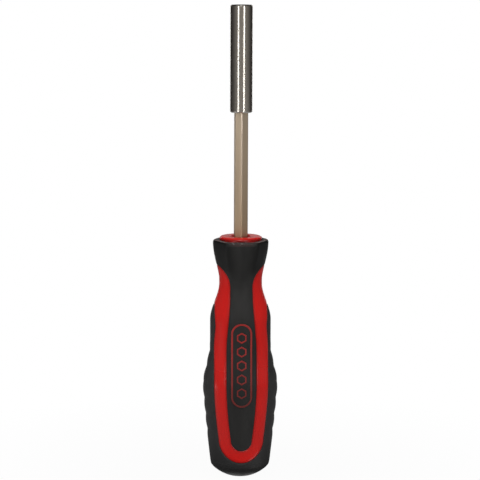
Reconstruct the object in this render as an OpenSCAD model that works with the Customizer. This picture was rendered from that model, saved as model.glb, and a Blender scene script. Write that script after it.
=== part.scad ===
// Bit holder screwdriver standing on its base: a hexagonal shaft carries a round bit sleeve at the top,
// and a hard core with two grip mouldings makes the handle. Sizes in mm, +Z along the shaft, front faces -Y.

/* [Shaft and bit sleeve] */
// Overall length, from the base to the mouth of the sleeve
overall_len = 225; // [205:0.5:260]
// Hexagonal shaft, across flats
hex_af = 6.35; // [6:0.05:6.7]
// How far the shaft's six corners are broken, measured towards the axis
shaft_edge = 0.06; // [0.02:0.01:0.15]
// Turn of the shaft's hexagon about the axis, in degrees
shaft_turn = 33; // [0:0.5:59.5]
// Height of the tang's lower end above the base
tang_z = 32; // [20:1:50]
// Span across the two pressed wings that lock the tang in the handle
wing_span = 11; // [9:0.5:13]
// Thickness of the wings
wing_t = 2.4; // [1.5:0.1:3]
// Length of the wings along the shaft
wing_len = 12; // [6:1:18]
// Height of the wings' middle
wing_z = 58; // [55:1:65]
// Outside diameter of the bit sleeve
sleeve_d = 10.5; // [10.3:0.1:13]
// Length of the bit sleeve
sleeve_len = 50.5; // [40:0.5:60]
// Chamfer on both outer edges of the sleeve
sleeve_chamfer = 0.5; // [0.2:0.1:0.7]
// Depth of the lead-in cone at the socket's mouth
lead_in = 0.8; // [0.4:0.1:1]
// Depth of the bit socket, down to the magnet
bit_depth = 13; // [10:0.5:18]
// Room between the hexagonal bore and the bar, across flats
socket_play = 0.06; // [0.02:0.01:0.15]

/* [Magnet and retaining ring] */
// Diameter of the holding magnet
magnet_d = 5.8; // [4:0.1:6]
// Thickness of the holding magnet
magnet_h = 3; // [2:0.5:5]
// Wire diameter of the retaining ring
ring_wire = 0.8; // [0.6:0.05:1]
// How far the ring reaches into the corners of the socket
ring_bite = 0.35; // [0.2:0.05:0.45]
// Play of the ring in its groove, on each side
ring_play = 0.1; // [0.05:0.01:0.15]
// Depth of the ring's middle below the mouth
ring_below_mouth = 4.5; // [3:0.5:8]
// Gap between the ends of the ring, in degrees
ring_gap = 50; // [20:5:90]

/* [Handle outline] */
// Height of the collar's rim
rim_z = 114.25; // [109:0.25:118]
// Rounding of the rim's upper edge
rim_round = 1; // [0.5:0.1:2]
// Rim, across its rounded corners
rim_w = 26.5; // [25:0.1:30]
// Sharpness of the rim's six corners
rim_sharpness = 14; // [8:1:24]
// Upper end of the narrow neck
neck_top_z = 95.2; // [93.5:0.1:97]
// Lower end of the narrow neck
neck_low_z = 92.7; // [91:0.1:93.5]
// Neck, side to side
neck_w = 20.4; // [19:0.1:22]
// Neck, front to back
neck_d = 19.8; // [19:0.1:22]
// Upper end of the straight shoulder
shoulder_top_z = 75.7; // [73:0.1:78]
// Lower end of the straight shoulder
shoulder_low_z = 66.7; // [65.5:0.1:70]
// Shoulder, side to side
shoulder_w = 29; // [27:0.2:32]
// Shoulder, front to back
shoulder_d = 26.8; // [25:0.2:30]
// Height of the widest part of the belly
belly_z = 44.7; // [40:0.1:48]
// Belly, side to side
belly_w = 36; // [33:0.1:40]
// Belly, front to back
belly_d = 29.6; // [27:0.1:34]
// Height of the corner where the side wall meets the domed base
heel_z = 5.3; // [4.5:0.1:5.8]
// Heel, side to side
heel_w = 28.2; // [27:0.2:32]
// Heel, front to back
heel_d = 27.2; // [26:0.2:32]
// Diameter of the flat that the handle stands on
foot_d = 12; // [8:0.5:16]

/* [Nose, tongue and band] */
// Diameter of the nose disc round the shaft
nose_d = 20.6; // [18:0.2:21.4]
// Height of the nose disc above the rim
nose_rise = 1.55; // [1.5:0.05:4]
// Rounding of the nose disc's edge
nose_round = 1.3; // [0.3:0.1:1.3]
// Diameter of the relief round the shaft in the nose
relief_d = 9.2; // [8.4:0.1:12]
// Depth of the relief
relief_depth = 0.6; // [0.2:0.1:1]
// Width of the tongue at the neck
tongue_neck_w = 10.8; // [9:0.2:12]
// Height where the tongue starts to widen
tongue_grow_z = 89; // [86:0.5:90]
// Height where the tongue reaches its full width
tongue_full_z = 61.1; // [56:0.1:64]
// Full width of the tongue
tongue_w = 14.5; // [12.6:0.1:16]
// Radius of the tongue's round lower end
tongue_end_r = 5.05; // [4:0.05:6]
// Height of the tongue's tip
tongue_tip_z = 14.25; // [13:0.05:16]
// Width of the band round the tongue
band_w = 6; // [5:0.05:6.5]
// Height where the tongue starts to open out into the bell
arch_low_z = 90.2; // [89.5:0.1:92]
// Height of the band's arch on the sides, under the bell
arch_z = 102.2; // [99:0.1:105]
// Thickness of the collar and tongue
collar_t = 2.2; // [1.5:0.1:2.6]

/* [Side grips, base and badge] */
// Height where the side grips start to draw in to their tips
grip_draw_z = 72.8; // [70:0.1:76]
// Height of the side grips' tips
grip_tip_z = 83.2; // [80:0.1:86]
// Thickness of the side grips
grip_t = 2.6; // [1.8:0.1:3.2]
// Thickness of the base under the core
base_t = 5.2; // [4:0.1:6]
// Number of scallop valleys on each side grip
rib_count = 6; // [3:1:6]
// Spacing of the scallop valleys
rib_pitch = 7.65; // [6.5:0.05:7.7]
// Depth of the scallop valleys
rib_depth = 0.4; // [0.2:0.05:1]
// Height of the lowest scallop valley
rib_z = 22.4; // [20:0.1:24]
// Width of the badge plate
badge_w = 9.9; // [6:0.1:10.4]
// Length of the badge plate
badge_len = 40; // [24:0.2:44]
// Thickness of the badge plate
badge_t = 0.35; // [0.2:0.05:0.8]
// Height of the badge's middle
badge_z = 55.7; // [48:0.1:58]
// Parting clearance between neighbouring pieces of the handle
seam = 0.1; // [0.05:0.01:0.15]

/* [Hidden] */

$fn = 96;
front = 270;
right = 0;
quarter_turn = 90;
hex_turn = 60;
tiny = 0.000001;
// How far cutting shapes run past the faces they open
overshoot = 1;
steel = "silver";
red = "firebrick";
black = "dimgray";
dark_steel = "gray";

// Heights and radii that follow from the driving sizes
sleeve_z = overall_len - sleeve_len;
shaft_top_z = overall_len - bit_depth - magnet_h;
socket_af = hex_af + socket_play;
socket_corner_r = corner_r(socket_af);
ring_r = socket_corner_r - ring_bite + ring_wire / 2;
groove_r = ring_r + ring_wire / 2 + ring_play;
groove_h = ring_wire + 2 * ring_play;
ring_z = overall_len - ring_below_mouth;
nose_z = rim_z + nose_rise;
rim_wide_z = rim_z - rim_round;
core_z = base_t + seam;
tongue_end_z = tongue_tip_z + tongue_end_r;
band_tip_z = tongue_tip_z - band_w;
rib_low_z = rib_z - rib_pitch / 2;
rib_high_z = rib_z + (rib_count - 0.5) * rib_pitch;
dome_centre_z = (pow(heel_w / 2, 2) - pow(foot_d / 2, 2) + pow(heel_z, 2)) / (2 * heel_z);
dome_r = norm([foot_d / 2, dome_centre_z]);

// How sharply the belly draws in to the shoulder and to the heel, the tongue to its end, and the arch closes
belly_power = 0.8;
heel_power = 1.2;
tongue_power = 1.6;
arch_power = 2.3;
// Half-angles below which the tongue and the side grips thin out to their tips, in degrees
tongue_thin = 8;
grip_thin = 10;
// The scallops fade out between these cosines of the angle from the side
rib_fade_from = 0.6;
rib_fade_to = 0.9;
// Facets across each zone of a quarter of the handle
tongue_cols = 4;
band_cols = 3;
grip_cols = 4;
// Steps up each zone of the handle
dome_steps = 5;
band_tip_steps = 5;
heel_steps = 2;
tongue_tip_steps = 4;
belly_steps = 16;
shoulder_steps = 9;
draw_steps = 7;
neck_steps = 4;
arch_steps = 8;
bell_steps = 4;
edge_steps = 3;
rib_steps = 4;
badge_steps = 6;
badge_end_steps = 5;

function corner_r(af) = af / 2 / cos(hex_turn / 2);
function mix(a, b, t) = a + (b - a) * t;
function clip(t) = max(0, min(1, t));
function ease(t) = let (u = clip(t)) u * u * (3 - 2 * u);
function polar(r, a, z) = [r * cos(a), r * sin(a), z];
function rounding(r, rise) = rise <= 0 ? 0 : r - chord(r, rise);
// Half of a circle's chord at a distance from its centre, and nothing at the circle's very edge
function chord(r, off) = r * r - off * off > tiny ? sqrt(r * r - off * off) : 0;

// Heights after a start: even steps, steps that crowd at the start, and steps that crowd at the end
function even(from, to, n) = [for (i = [1 : n]) mix(from, to, i / n)];
function crowd_start(from, to, n) = [for (i = [1 : n]) mix(from, to, pow(i / n, 2))];
function crowd_end(from, to, n) = [for (i = [1 : n]) mix(from, to, 1 - pow(1 - i / n, 2))];
function over_edge(from, r) = [for (i = [1 : edge_steps]) from + r * sin(quarter_turn * i / edge_steps)];

// Half of the section's width or depth at height z, from its values at the five named stations
function along(z, rim, neck, shoulder, belly, heel) =
    z >= neck_top_z ? mix(neck, rim, ease((z - neck_top_z) / (rim_wide_z - neck_top_z))) / 2
    : z >= neck_low_z ? neck / 2
    : z >= shoulder_top_z
        ? mix(shoulder, neck, ease((z - shoulder_top_z) / (neck_low_z - shoulder_top_z))) / 2
    : z >= shoulder_low_z ? shoulder / 2
    : z >= belly_z
        ? mix(belly, shoulder, ease(pow((z - belly_z) / (shoulder_low_z - belly_z), belly_power))) / 2
    : mix(belly, heel, pow((belly_z - z) / (belly_z - heel_z), heel_power)) / 2;

function half_w(z) = along(z, rim_w, neck_w, shoulder_w, belly_w, heel_w);
function half_d(z) = along(z, rim_w, neck_d, shoulder_d, belly_d, heel_d);
function oval_r(a, w, d) = w * d / norm([d * cos(a), w * sin(a)]);

// Rounded hexagon with corners to the left and right, as a power mean of its six flats
function total(list) = list * [for (x = list) 1];
function hex_mean(a) =
    let (flats = [for (k = [0 : 5]) max(0, cos(a - (k + 0.5) * hex_turn))])
    pow(total([for (f = flats) pow(f, rim_sharpness)]), -1 / rim_sharpness);
function hex_r(a, w) = w * hex_mean(a) / hex_mean(right);

// Radius of the handle's skin at angle a and height z
function skin_r(a, z) =
    let (w = half_w(z), bell = ease((z - neck_top_z) / (rim_wide_z - neck_top_z)))
    mix(oval_r(a, w, half_d(z)), hex_r(a, w), bell) - rounding(rim_round, z - rim_wide_z);

// Half-widths of the tongue and of the band round it, as seen from the front
function tongue_x(z) =
    z >= tongue_full_z
        ? mix(tongue_w, tongue_neck_w, ease((z - tongue_full_z) / (tongue_grow_z - tongue_full_z))) / 2
    : z >= belly_z ? tongue_w / 2
    : z >= tongue_end_z
        ? mix(tongue_w / 2, tongue_end_r, pow((belly_z - z) / (belly_z - tongue_end_z), tongue_power))
    : chord(tongue_end_r, tongue_end_z - z);
function band_x(z) =
    z >= tongue_end_z ? tongue_x(z) + band_w
    : chord(tongue_end_r + band_w, tongue_end_z - z);

// Angle from the front or back line to a point of the skin at sideways distance x
function angle_at(x, z) = atan2(x, half_d(z) * sqrt(max(0, 1 - pow(x / half_w(z), 2))));
function arch_share(t) = t > 1 - tiny ? 0 : pow(1 - pow(clip(t), arch_power), 1 / arch_power);
function tongue_angle(z) =
    z <= tongue_tip_z ? 0
    : z <= arch_low_z ? angle_at(tongue_x(z), z)
    : quarter_turn - (quarter_turn - angle_at(tongue_x(arch_low_z), arch_low_z))
        * arch_share((z - arch_low_z) / (arch_z - arch_low_z));
function band_angle(z) =
    z <= band_tip_z ? 0
    : z <= grip_draw_z ? angle_at(band_x(z), z)
    : quarter_turn - (quarter_turn - angle_at(band_x(grip_draw_z), grip_draw_z))
        * chord(1, clip((z - grip_draw_z) / (grip_tip_z - grip_draw_z)));
function grip_angle(z) = quarter_turn - band_angle(z);
function seam_angle(z) = seam / half_d(z) * 180 / PI;

// Thickness of the tongue and of the side grips, thinning out at their tips
function tongue_depth(z) = clip(tongue_angle(z) / tongue_thin);
function grip_depth(z) = clip(grip_angle(z) / grip_thin);

// Radius of the core under the collar, in the bare band, and under the side grips
function core_under_collar(a, z) =
    z > rim_z ? nose_d / 2 - rounding(nose_round, z - nose_z + nose_round)
    : min(nose_d / 2, skin_r(a, z) - (collar_t + seam) * tongue_depth(z));
function core_under_grip(a, z) = skin_r(a, z) - (grip_t + seam) * grip_depth(z);
function core_band(a, z) =
    tongue_angle(z) >= quarter_turn ? core_under_collar(a, z)
    : band_angle(z) <= 0 ? core_under_grip(a, z)
    : skin_r(a, z);

// Scallop valleys across the side grips
function rib_cut(a, z) =
    z < rib_low_z || z > rib_high_z ? 0
    : rib_depth * (1 - abs(sin(180 * (z - rib_z) / rib_pitch)))
        * ease((abs(cos(a)) - rib_fade_from) / (rib_fade_to - rib_fade_from));

// Two triangles for each four-sided patch, leaving out those that shrink to a line
function split(quads) = [for (q = quads, t = [[q[0], q[1], q[2]], [q[0], q[2], q[3]]]) t];
function apart(p, q, r) = p != q && q != r && r != p;
function solid_only(faces, points) = [for (f = faces) if (apart(points[f[0]], points[f[1]], points[f[2]])) f];

// Closed shell of one or more fingers that run up the handle, each spread about its middle angle by half(z)
// Fingers that spread a quarter turn meet in a full ring, so no side wall stands between them there
module finger_shell(levels, middles, cols, half, outer, inner) {
    last = len(levels) - 1;
    per_finger = cols + 1;
    per_level = per_finger * len(middles);
    function spread(z, i) = half(z) * (2 * i / cols - 1);
    outside = [for (z = levels, m = middles, i = [0 : cols]) outer(m + spread(z, i), z)];
    inside = [for (z = levels, m = middles, i = [0 : cols]) inner(m + spread(z, i), z)];
    points = concat(outside, inside);
    function out(j, k, i) = j * per_level + k * per_finger + i;
    function in(j, k, i) = len(outside) + out(j, k, i);
    fingers = [0 : len(middles) - 1];
    skins = [for (j = [0 : last - 1], k = fingers, i = [0 : cols - 1]) each [
        [out(j, k, i), out(j + 1, k, i), out(j + 1, k, i + 1), out(j, k, i + 1)],
        [in(j, k, i), in(j, k, i + 1), in(j + 1, k, i + 1), in(j + 1, k, i)]]];
    walls = [for (j = [0 : last - 1], k = fingers)
        if (min(half(levels[j]), half(levels[j + 1])) < quarter_turn) each [
            [out(j + 1, k, 0), out(j, k, 0), in(j, k, 0), in(j + 1, k, 0)],
            [out(j, k, cols), out(j + 1, k, cols), in(j + 1, k, cols), in(j, k, cols)]]];
    ends = [for (k = fingers, i = [0 : cols - 1]) each [
        [out(0, k, i), out(0, k, i + 1), in(0, k, i + 1), in(0, k, i)],
        [out(last, k, i + 1), out(last, k, i), in(last, k, i), in(last, k, i + 1)]]];
    polyhedron(points, solid_only(split(concat(skins, walls, ends)), points));
}

// Solid core whose section steps between the collar's seat, the bare band and the side grips' seat
module core_solid(levels) {
    function zone(from, to, n, seat) = [for (i = [0 : n]) [mix(from, to, i / n), seat]];
    function quarter(z) =
        let (inner = tongue_angle(z), outer = max(inner, band_angle(z)))
        concat(zone(0, inner, tongue_cols, 0), zone(inner, outer, band_cols, 1),
               zone(outer, quarter_turn, grip_cols, 2));
    function seat_r(seat, a, z) =
        seat == 0 && tongue_angle(z) > 0 ? core_under_collar(a, z)
        : seat == 2 && tongue_angle(z) < quarter_turn ? core_under_grip(a, z)
        : core_band(a, z);
    function ring(z) =
        let (q = quarter(z), n = len(q) - 1)
        concat([for (i = [0 : n]) [front + q[i][0], q[i][1]]],
               [for (i = [n - 1 : -1 : 0]) [front + 180 - q[i][0], q[i][1]]],
               [for (i = [1 : n]) [front + 180 + q[i][0], q[i][1]]],
               [for (i = [n - 1 : -1 : 1]) [front + 360 - q[i][0], q[i][1]]]);
    points = [for (z = levels, p = ring(z)) polar(seat_r(p[1], p[0], z), p[0], z)];
    around = len(points) / len(levels);
    last = len(levels) - 1;
    skin = [for (j = [0 : last - 1], i = [0 : around - 1])
        let (n = (i + 1) % around)
        [j * around + i, (j + 1) * around + i, (j + 1) * around + n, j * around + n]];
    floor_fan = [for (i = [1 : around - 2]) [0, i, i + 1]];
    top_fan = [for (i = [1 : around - 2]) [last * around, last * around + i + 1, last * around + i]];
    polyhedron(points, solid_only(concat(split(skin), floor_fan, top_fan), points));
}

// Hexagonal bar along the axis
module hex_bar(af, low, high) {
    translate([0, 0, low]) rotate(shaft_turn) cylinder(r = corner_r(af), h = high - low, $fn = 6);
}

// The tang's two wings, or the pocket for them
module wings(room) {
    rotate(shaft_turn)
        translate([0, 0, wing_z])
            cube([wing_span + 2 * room, wing_t + 2 * room, wing_len + 2 * room], center = true);
}

module hex_shaft() {
    color(steel) {
        intersection() {
            hex_bar(hex_af, tang_z, shaft_top_z);
            translate([0, 0, tang_z]) cylinder(r = corner_r(hex_af) - shaft_edge, h = shaft_top_z - tang_z);
        }
        wings(0);
    }
}

module bit_sleeve() {
    r = sleeve_d / 2;
    chamfered = [[0, sleeve_z], [r - sleeve_chamfer, sleeve_z], [r, sleeve_z + sleeve_chamfer],
                 [r, overall_len - sleeve_chamfer], [r - sleeve_chamfer, overall_len], [0, overall_len]];
    color(steel)
        difference() {
            rotate_extrude() polygon(chamfered);
            hex_bar(socket_af, sleeve_z - overshoot, overall_len + overshoot);
            translate([0, 0, overall_len - lead_in])
                cylinder(r1 = socket_af / 2, r2 = socket_af / 2 + lead_in, h = lead_in);
            translate([0, 0, ring_z - groove_h / 2]) cylinder(r = groove_r, h = groove_h);
        }
}

module holding_magnet() {
    color(dark_steel) translate([0, 0, shaft_top_z]) cylinder(d = magnet_d, h = magnet_h);
}

module retaining_ring() {
    color(steel)
        translate([0, 0, ring_z])
            rotate(front + ring_gap / 2)
                rotate_extrude(angle = 360 - ring_gap) translate([ring_r, 0]) circle(d = ring_wire);
}

module handle_core() {
    levels = concat(
        [core_z, band_tip_z],
        crowd_start(band_tip_z, tongue_tip_z, band_tip_steps),
        crowd_start(tongue_tip_z, tongue_end_z, tongue_tip_steps),
        even(tongue_end_z, shoulder_low_z, belly_steps),
        crowd_end(shoulder_low_z, grip_tip_z, draw_steps),
        even(grip_tip_z, arch_low_z, neck_steps),
        crowd_end(arch_low_z, arch_z, arch_steps),
        even(arch_z, rim_z, bell_steps),
        [rim_z + seam, nose_z - nose_round],
        over_edge(nose_z - nose_round, nose_round));
    color(red)
        difference() {
            core_solid(levels);
            hex_bar(hex_af + 2 * seam, tang_z - seam, nose_z + overshoot);
            wings(seam);
            translate([0, 0, nose_z - relief_depth]) cylinder(d = relief_d, h = relief_depth + overshoot);
        }
}

module collar_grip() {
    levels = concat(
        [tongue_tip_z],
        crowd_start(tongue_tip_z, tongue_end_z, tongue_tip_steps),
        even(tongue_end_z, shoulder_low_z, belly_steps),
        even(shoulder_low_z, arch_low_z, shoulder_steps),
        crowd_end(arch_low_z, arch_z, arch_steps),
        even(arch_z, rim_wide_z, bell_steps),
        over_edge(rim_wide_z, rim_round));
    half = function (z)
        tongue_angle(z) >= quarter_turn ? quarter_turn : max(0, tongue_angle(z) - seam_angle(z));
    outer = function (a, z) polar(skin_r(a, z), a, z);
    inner = function (a, z) polar(core_under_collar(a, z) + seam * tongue_depth(z), a, z);
    color(black) finger_shell(levels, [front, front + 180], 2 * tongue_cols, half, outer, inner);
}

module palm_grip() {
    centre = -1;
    levels = concat(
        [centre, 0],
        even(0, heel_z, dome_steps),
        [band_tip_z],
        crowd_start(band_tip_z, tongue_tip_z, band_tip_steps),
        even(tongue_tip_z, rib_low_z, heel_steps),
        even(rib_low_z, rib_high_z, rib_steps * rib_count),
        crowd_end(rib_high_z, grip_tip_z, draw_steps));
    half = function (z)
        z <= band_tip_z ? quarter_turn : max(0, grip_angle(z) - (z < grip_tip_z ? seam_angle(z) : 0));
    dome_share = function (z) sqrt(pow(dome_r, 2) - pow(dome_centre_z - z, 2)) / (heel_w / 2);
    outer = function (a, z)
        z < 0 ? [0, 0, 0]
        : z < heel_z ? polar(oval_r(a, heel_w / 2, heel_d / 2) * dome_share(z), a, z)
        : polar(skin_r(a, z) - rib_cut(a, z), a, z);
    inner = function (a, z)
        z < base_t ? polar((skin_r(a, base_t) - grip_t) * max(0, z) / base_t, a, base_t)
        : polar(skin_r(a, z) - grip_t * grip_depth(z), a, z);
    color(black) finger_shell(levels, [right, right + 180], 2 * grip_cols, half, outer, inner);
}

module front_badge() {
    low = badge_z - badge_len / 2;
    high = badge_z + badge_len / 2;
    end_r = badge_w / 2;
    levels = concat(
        [low],
        crowd_start(low, low + end_r, badge_end_steps),
        even(low + end_r, high - end_r, badge_steps),
        crowd_end(high - end_r, high, badge_end_steps));
    half = function (z) angle_at(chord(end_r, max(0, abs(z - badge_z) - badge_len / 2 + end_r)), z);
    outer = function (a, z) polar(skin_r(a, z) + seam + badge_t, a, z);
    inner = function (a, z) polar(skin_r(a, z) + seam, a, z);
    color(red) finger_shell(levels, [front], 2 * tongue_cols, half, outer, inner);
}

hex_shaft();
bit_sleeve();
holding_magnet();
retaining_ring();
handle_core();
collar_grip();
palm_grip();
front_badge();
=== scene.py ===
import math

import bmesh
import bpy
import numpy as np
from mathutils import Matrix, Vector


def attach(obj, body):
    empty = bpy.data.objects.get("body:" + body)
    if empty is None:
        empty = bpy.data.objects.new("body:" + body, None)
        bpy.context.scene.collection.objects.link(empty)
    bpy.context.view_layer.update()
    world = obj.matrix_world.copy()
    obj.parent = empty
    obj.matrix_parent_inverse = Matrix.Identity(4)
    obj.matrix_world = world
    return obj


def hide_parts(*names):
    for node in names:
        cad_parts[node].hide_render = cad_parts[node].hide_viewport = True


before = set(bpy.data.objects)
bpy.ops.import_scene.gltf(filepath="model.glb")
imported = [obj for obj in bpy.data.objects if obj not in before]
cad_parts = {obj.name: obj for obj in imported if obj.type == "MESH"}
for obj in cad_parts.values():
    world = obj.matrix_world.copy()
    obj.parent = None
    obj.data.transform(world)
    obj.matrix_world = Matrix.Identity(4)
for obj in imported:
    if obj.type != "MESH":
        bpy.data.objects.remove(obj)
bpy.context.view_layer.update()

# Hexagonal shaft: drawn steel bar, 6.35 mm across flats, plated to a warm satin nickel.
# Its tang is moulded into the handle, where two pressed wings keep it from turning.
MM = 0.001
merge_gap, sliver = 0.002, 0.0005
hex_af = 6.35
shaft_low, shaft_top = 32.0, 209.0
shaft_turn, shaft_corner = math.radians(3.0), 0.35
wing_size, wing_z, wing_edge = (11.0, 2.4, 12.0), 58.0, 0.4
handle_dark_low, handle_dark_high = 116, 172
rub_glint_low, rub_glint_high, rub_glint_most = 128, 176, 0.9
rub_glint_start_r, rub_glint_full_r = 3.44, 3.52


def clear_selection():
    if bpy.context.mode != "OBJECT":
        bpy.ops.object.mode_set(mode="OBJECT")
    bpy.ops.object.select_all(action="DESELECT")


def activate(piece):
    """Selects the piece alone and makes it the active one."""
    clear_selection()
    piece.select_set(True)
    bpy.context.view_layer.objects.active = piece


def apply_place():
    bpy.ops.object.transform_apply(location=True, rotation=True, scale=True)


def corner_radius(across_flats):
    return across_flats / 2 / math.cos(math.pi / 6)


def add_modifier(piece, kind, **values):
    """Adds one modifier, sets its values and applies it."""
    activate(piece)
    bpy.ops.object.modifier_add(type=kind)
    modifier = piece.modifiers[-1]
    for key, value in values.items():
        setattr(modifier, key, value)
    bpy.ops.object.modifier_apply(modifier=modifier.name)


def settle(piece, smooth_angle=35, weighted=False):
    """Puts the piece's place into its mesh, merges doubles, turns the faces outwards and smooths them."""
    activate(piece)
    apply_place()
    bpy.ops.object.mode_set(mode="EDIT")
    bpy.ops.mesh.select_all(action="SELECT")
    bpy.ops.mesh.remove_doubles(threshold=merge_gap * MM)
    bpy.ops.mesh.dissolve_degenerate(threshold=sliver * MM)
    bpy.ops.mesh.normals_make_consistent(inside=False)
    bpy.ops.object.mode_set(mode="OBJECT")
    bpy.ops.object.shade_smooth_by_angle(angle=math.radians(smooth_angle))
    if weighted:
        add_modifier(piece, "WEIGHTED_NORMAL", keep_sharp=True, weight=100)


def soften(piece, width, segments, angle=30):
    add_modifier(piece, "BEVEL", width=width * MM, segments=segments, limit_method="ANGLE",
                 angle_limit=math.radians(angle), harden_normals=False)


def join_or_cut(piece, tool, operation):
    """Joins a tool solid to the piece or cuts it away, and takes the tool out of the scene."""
    add_modifier(piece, "BOOLEAN", object=tool, operation=operation, solver="EXACT")
    bpy.data.objects.remove(tool)


def hex_prism(across_flats, low, high):
    clear_selection()
    bpy.ops.mesh.primitive_cylinder_add(
        vertices=6, radius=corner_radius(across_flats) * MM, depth=(high - low) * MM,
        location=(0, 0, (low + high) / 2 * MM), rotation=(0, 0, shaft_turn))
    prism = bpy.context.object
    apply_place()
    return prism


def connect(socket, value):
    """Wires an output to a socket, or sets a constant on it."""
    if isinstance(value, bpy.types.NodeSocket):
        socket.id_data.links.new(value, socket)
    else:
        socket.default_value = value


def node_maker(tree):
    """Maker of nodes in a tree; sources go to the first sockets, values to settings or sockets by name."""
    def node(kind, *sources, **values):
        made = tree.nodes.new(kind)
        for key, value in values.items():
            if hasattr(made, key):
                setattr(made, key, value)
            else:
                connect(made.inputs[key.replace("_", " ")], value)
        for place, value in enumerate(sources):
            connect(made.inputs[place], value)
        return made

    return node


def new_finish(name):
    """Node material, with a maker of its nodes and a function that feeds its shader's sockets."""
    finish = bpy.data.materials.new(name)
    finish.use_nodes = True
    shader = finish.node_tree.nodes["Principled BSDF"]

    def feed(socket, value):
        connect(shader.inputs[socket], value)

    return finish, node_maker(finish.node_tree), feed


def grain(node, size, detail):
    """Noise on Object coordinates; size gives the grain's length along x, y and z in millimetres."""
    stretch = node("ShaderNodeMapping", Vector=node("ShaderNodeTexCoord").outputs["Object"],
                   Scale=[1 / (s * MM) for s in size])
    return node("ShaderNodeTexNoise", Vector=stretch.outputs["Vector"], Scale=1.0, Detail=detail,
                Roughness=0.55).outputs["Fac"]


def ramp(node, factor, stops):
    """Colour at a factor; each stop gives a place from 0 to 1 and the colour there."""
    made = node("ShaderNodeValToRGB", Fac=factor)
    elements = made.color_ramp.elements
    for place, colour in stops[1:-1]:
        elements.new(place).color = (*colour, 1)
    for end in (0, -1):
        elements[end].position = stops[end][0]
        elements[end].color = (*stops[end][1], 1)
    return made.outputs["Color"]


def tones(node, factor, low, high, start=0.3, end=0.7):
    """Colour that runs from low to high while the factor, mostly a grain, runs from start to end."""
    return ramp(node, factor, ((start, low), (end, high)))


def span(node, factor, low, high, start=0.3, end=0.7, kind="LINEAR"):
    """Number that runs from low to high while the factor, mostly a grain, runs from start to end."""
    return node("ShaderNodeMapRange", interpolation_type=kind, Value=factor, From_Min=start, From_Max=end,
                To_Min=low, To_Max=high).outputs["Result"]


def fade(node, start, end, low=0.0, high=1.0, kind="LINEAR"):
    """Number that runs from low to high between two heights in millimetres."""
    place = node("ShaderNodeSeparateXYZ", node("ShaderNodeTexCoord").outputs["Object"])
    return span(node, place.outputs["Z"], low, high, start * MM, end * MM, kind)


def blend(node, factor, first, second, kind="MIX"):
    return node("ShaderNodeMixRGB", blend_type=kind, Fac=factor, Color1=first,
                Color2=second).outputs["Color"]


def relief(node, height, strength, depth):
    return node("ShaderNodeBump", Height=height, Strength=strength, Distance=depth * MM).outputs["Normal"]


shaft = hex_prism(hex_af, shaft_low, shaft_top)
soften(shaft, shaft_corner, 3)
clear_selection()
bpy.ops.mesh.primitive_cube_add(size=1, location=(0, 0, wing_z * MM),
                                rotation=(0, 0, shaft_turn + math.pi / 6))
wings = bpy.context.object
wings.scale = [s * MM for s in wing_size]
apply_place()
soften(wings, wing_edge, 2)
join_or_cut(shaft, wings, "UNION")
shaft.name = "hex_shaft_bar"
settle(shaft, weighted=True)

nickel, node, feed = new_finish("satin_nickel")
streaks = grain(node, (0.5, 0.5, 40.0), 4.0)
patches = grain(node, (9.0, 9.0, 26.0), 2.0)
pits = grain(node, (0.22, 0.22, 0.5), 2.0)
tint = tones(node, patches, (0.57, 0.465, 0.345), (0.63, 0.515, 0.385))
drawn = tones(node, streaks, (0.90, 0.90, 0.90), (1.0, 1.0, 1.0), 0.35, 0.65)
# The shaft's colour is darker towards the handle.
near_handle = fade(node, handle_dark_low, handle_dark_high, 1.0, 0.0)
darker_near_handle = blend(node, near_handle, tint, (0.73, 0.65, 0.575, 1), "MULTIPLY")
streaked = blend(node, 1.0, darker_near_handle, drawn, "MULTIPLY")
# Rubbed corners: along the hexagon's corners the colour is lighter and the gloss higher, fading towards the
# handle; the lighter colour is partly wear and partly a painted highlight.
flattened = node("ShaderNodeMapping", Vector=node("ShaderNodeTexCoord").outputs["Object"], Scale=(1, 1, 0))
from_axis = node("ShaderNodeVectorMath", flattened.outputs["Vector"], operation="LENGTH").outputs["Value"]
rubbed = span(node, from_axis, 0.0, fade(node, rub_glint_low, rub_glint_high, 0.0, rub_glint_most),
              rub_glint_start_r * MM, rub_glint_full_r * MM)
feed("Base Color", blend(node, rubbed, streaked, (0.66, 0.56, 0.46, 1)))
feed("Roughness", span(node, rubbed, span(node, streaks, 0.42, 0.50), 0.31, 0.0, 1.0))
feed("Normal", relief(node, pits, 0.06, 0.02))
feed("Metallic", 1.0)
shaft.data.materials.clear()
shaft.data.materials.append(nickel)
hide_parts("hex_shaft")
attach(shaft, "driver")

# Bit sleeve: turned stainless tube pressed on the end of the shaft, with chamfered ends.
# Its mouth has a lead-in cone, a hexagonal socket for the bit and a groove for the spring ring.
sleeve_d, sleeve_low, sleeve_top = 10.5, 174.5, 225.0
sleeve_chamfer, sleeve_edge = 0.5, 0.1
socket_af, lead_in, overshoot = 6.41, 0.8, 1.0
groove_z, groove_r, groove_h = 220.5, 4.251, 1.0


def drum(radius, low, high, vertices=128, top_radius=None):
    clear_selection()
    bpy.ops.mesh.primitive_cone_add(
        vertices=vertices, radius1=radius * MM, radius2=(radius if top_radius is None else top_radius) * MM,
        depth=(high - low) * MM, location=(0, 0, (low + high) / 2 * MM))
    apply_place()
    return bpy.context.object


sleeve = drum(sleeve_d / 2, sleeve_low, sleeve_top)
soften(sleeve, sleeve_chamfer, 1)
soften(sleeve, sleeve_edge, 2)
join_or_cut(sleeve, hex_prism(socket_af, sleeve_low - overshoot, sleeve_top + overshoot), "DIFFERENCE")
join_or_cut(sleeve, drum(socket_af / 2, sleeve_top - lead_in, sleeve_top + overshoot,
                         top_radius=socket_af / 2 + lead_in + overshoot), "DIFFERENCE")
join_or_cut(sleeve, drum(groove_r, groove_z - groove_h / 2, groove_z + groove_h / 2), "DIFFERENCE")
sleeve.name = "bit_sleeve_tube"
settle(sleeve, weighted=True)

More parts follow.
